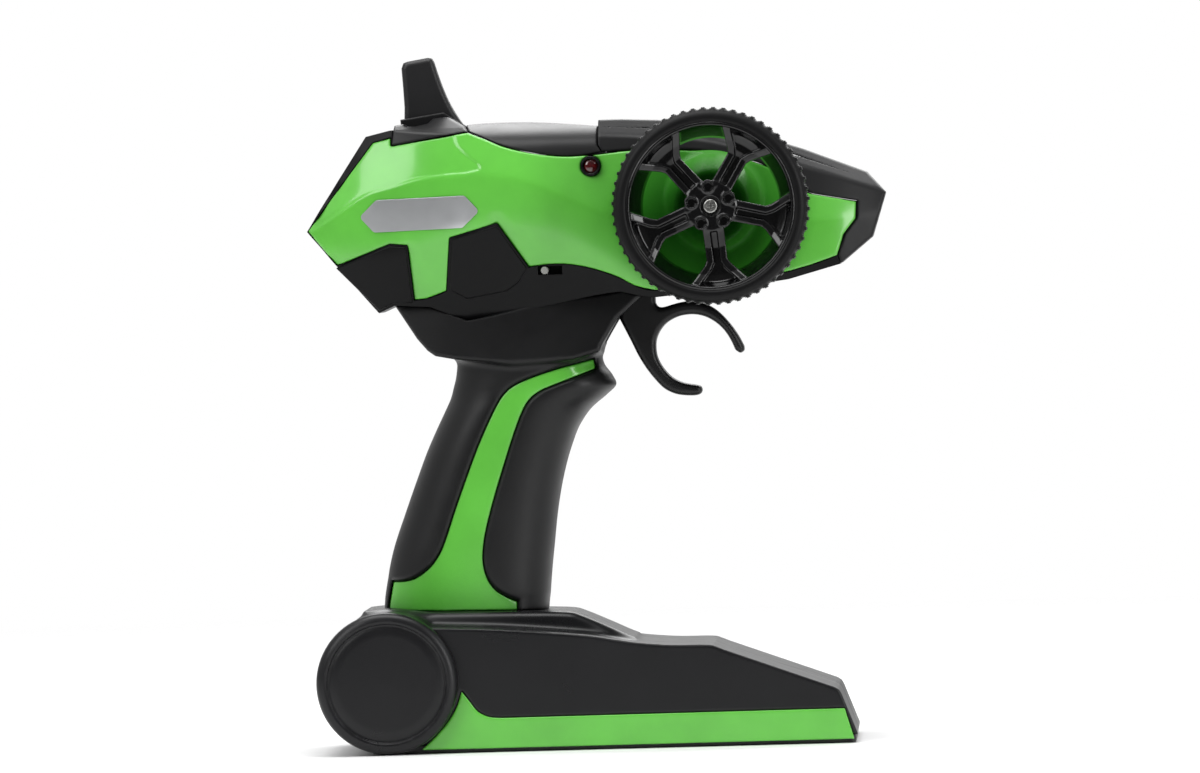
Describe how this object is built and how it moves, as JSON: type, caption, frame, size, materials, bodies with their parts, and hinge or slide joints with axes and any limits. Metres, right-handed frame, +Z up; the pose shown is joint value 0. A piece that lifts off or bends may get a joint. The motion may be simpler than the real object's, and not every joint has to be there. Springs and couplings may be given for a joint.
{
  "type": "radio transmitter controller",
  "caption": "Pistol-grip radio transmitter for model cars: green and black head, tread-rimmed steering wheel, ring trigger, deck trims, fin antenna and a flat battery base.",
  "frame": {"origin": "centre of the flat foot in the clamshell seam plane, on the standing surface", "axes": "+X forward towards the muzzle, +Z up, steering wheel on the -Y side"},
  "size_m": [0.1663, 0.09, 0.1991],
  "materials": {
    "green_gloss": "glossy moulded, light scuffs",
    "black_gloss": "glossy moulded",
    "black_satin": "satin moulded",
    "black_matte": "fine spark-eroded texture",
    "black_rubber": "matte rubber",
    "red_lens": "clear red, polished",
    "silver_plate": "satin foil face",
    "steel": "nickel plated",
    "board_green": "solder mask",
    "component": "moulded parts",
    "grey_nub": "satin",
    "white_acetal": "smooth",
    "cell_wrap": "shrink sleeve",
    "wire_red": "insulation"
  },
  "bodies": {
    "housing": {"head_shell_right": "black_gloss", "head_shell_left": "black_gloss", "side_panel_right": "green_gloss", "side_panel_left": "green_gloss", "front_cowl": "black_satin", "top_cover": "black_satin", "antenna_fairing": "black_satin", "antenna_collar": "black_satin", "antenna_fin": "black_satin", "antenna_wire": "steel", "led_bezel": "black_gloss", "led_lens": "red_lens", "name_plate_right": "silver_plate", "name_plate_left": "silver_plate", "shaft_bush": "white_acetal", "steering_potentiometer": "component", "mechanism_frame": "black_matte", "steering_spring": "steel", "trigger_pin": "steel", "throttle_potentiometer": "component", "trigger_spring": "steel", "deck_board": "board_green", "power_switch_body": "component", "trim_potentiometers": "component", "mode_switch_body": "component", "main_board": "board_green", "board_components": "component", "radio_module": "steel", "grip_shell_right": "black_matte", "grip_shell_left": "black_matte", "grip_inlay_right": "green_gloss", "grip_inlay_left": "green_gloss", "base_shell_right": "black_satin", "base_shell_left": "black_satin", "base_trim_right": "green_gloss", "base_trim_left": "green_gloss", "rear_cap_right": "black_satin", "rear_cap_left": "black_satin", "base_floor": "black_matte", "floor_screws": "steel", "battery_tray": "black_matte", "batteries": "cell_wrap", "battery_contacts": "steel", "battery_springs": "steel", "battery_leads": "wire_red", "shell_screws": "steel"},
    "steering": {"wheel_tyre": "black_rubber", "steering_wheel_rim": "black_gloss", "wheel_screw": "steel", "steering_shaft": "steel", "steering_return_arm": "white_acetal"},
    "throttle": {"trigger": "black_satin"},
    "power_switch": {"power_switch_knob": "black_matte"},
    "steering_trim": {"steering_trim_dial": "black_matte"},
    "throttle_trim": {"throttle_trim_dial": "black_matte"},
    "mode_switch": {"mode_switch_knob": "grey_nub"},
    "battery_hatch": {"battery_door": "black_matte", "door_screw": "steel"}
  },
  "joints": [
    {"name": "steering_turn", "type": "hinge", "parent": "housing", "child": "steering", "pos_m": [0.0392, 0, 0.1539], "axis": [0, 1, 0], "range_deg": [-40, 40], "stiffness_Nm_per_rad": 0.05, "deforming": ["steering_spring"]},
    {"name": "trigger_pull", "type": "hinge", "parent": "housing", "child": "throttle", "pos_m": [0.0165, 0, 0.139], "axis": [0, 1, 0], "range_deg": [-11, 15], "stiffness_Nm_per_rad": 0.04, "deforming": ["trigger_spring"]},
    {"name": "power_switch_slide", "type": "slide", "parent": "housing", "child": "power_switch", "axis": [1, 0, 0], "range_m": [0, 0.004]},
    {"name": "steering_trim_turn", "type": "hinge", "parent": "housing", "child": "steering_trim", "pos_m": [0.0385, -0.008, 0.177], "axis": [0, 0, 1], "range_deg": [-135, 135]},
    {"name": "throttle_trim_turn", "type": "hinge", "parent": "housing", "child": "throttle_trim", "pos_m": [0.0385, 0.008, 0.177], "axis": [0, 0, 1], "range_deg": [-135, 135]},
    {"name": "mode_switch_slide", "type": "slide", "parent": "housing", "child": "mode_switch", "axis": [1, 0, 0], "range_m": [0, 0.003]},
    {"name": "battery_hatch_slide", "type": "slide", "parent": "housing", "child": "battery_hatch", "axis": [0, 0, -1], "range_m": [0, 0.012]}
  ]
}
